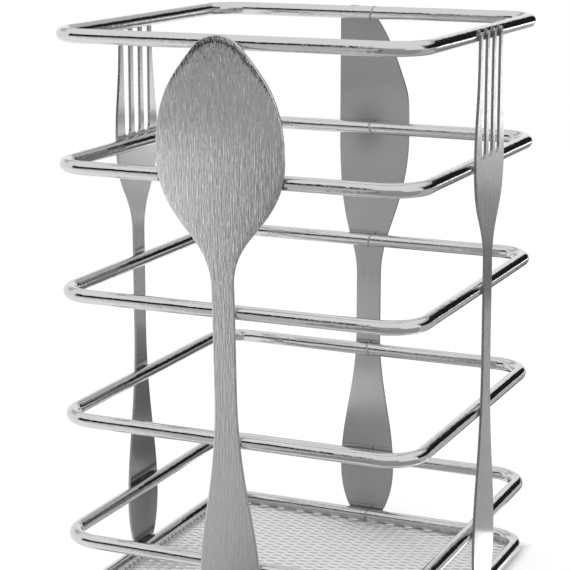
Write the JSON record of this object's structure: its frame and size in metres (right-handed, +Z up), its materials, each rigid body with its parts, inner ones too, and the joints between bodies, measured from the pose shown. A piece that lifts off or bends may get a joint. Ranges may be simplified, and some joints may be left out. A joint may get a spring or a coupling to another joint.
{
  "type": "cutlery caddy",
  "caption": "Open square caddy of chromed wire rings over a mesh floor, held together by a flat steel spoon, knife and forks welded to its sides; stands on a table and holds cutlery.",
  "frame": {"origin": "middle of the underside of the mesh floor, on the surface that the caddy stands on", "axes": "+Z up, -Y out through the side with the spoon, +X out through the side with the right fork"},
  "size_m": [0.1116, 0.1147, 0.1702],
  "materials": {
    "wire": "bright chrome plate",
    "mesh": "chromed expanded metal",
    "brushed_sheet": "brushed along the length",
    "polished_sheet": "satin polish",
    "weld": "plated weld"
  },
  "bodies": {
    "root": {"wire_ring_1": "wire", "wire_ring_2": "wire", "wire_ring_3": "wire", "wire_ring_4": "wire", "wire_ring_5": "wire", "base_ring": "wire", "mesh_floor": "mesh", "front_spoon": "brushed_sheet", "back_knife": "polished_sheet", "left_fork": "polished_sheet", "right_fork": "polished_sheet", "butt_welds": "weld", "spoon_welds": "weld", "knife_welds": "weld", "left_fork_welds": "weld", "right_fork_welds": "weld", "mesh_welds": "weld"}
  },
  "joints": []
}
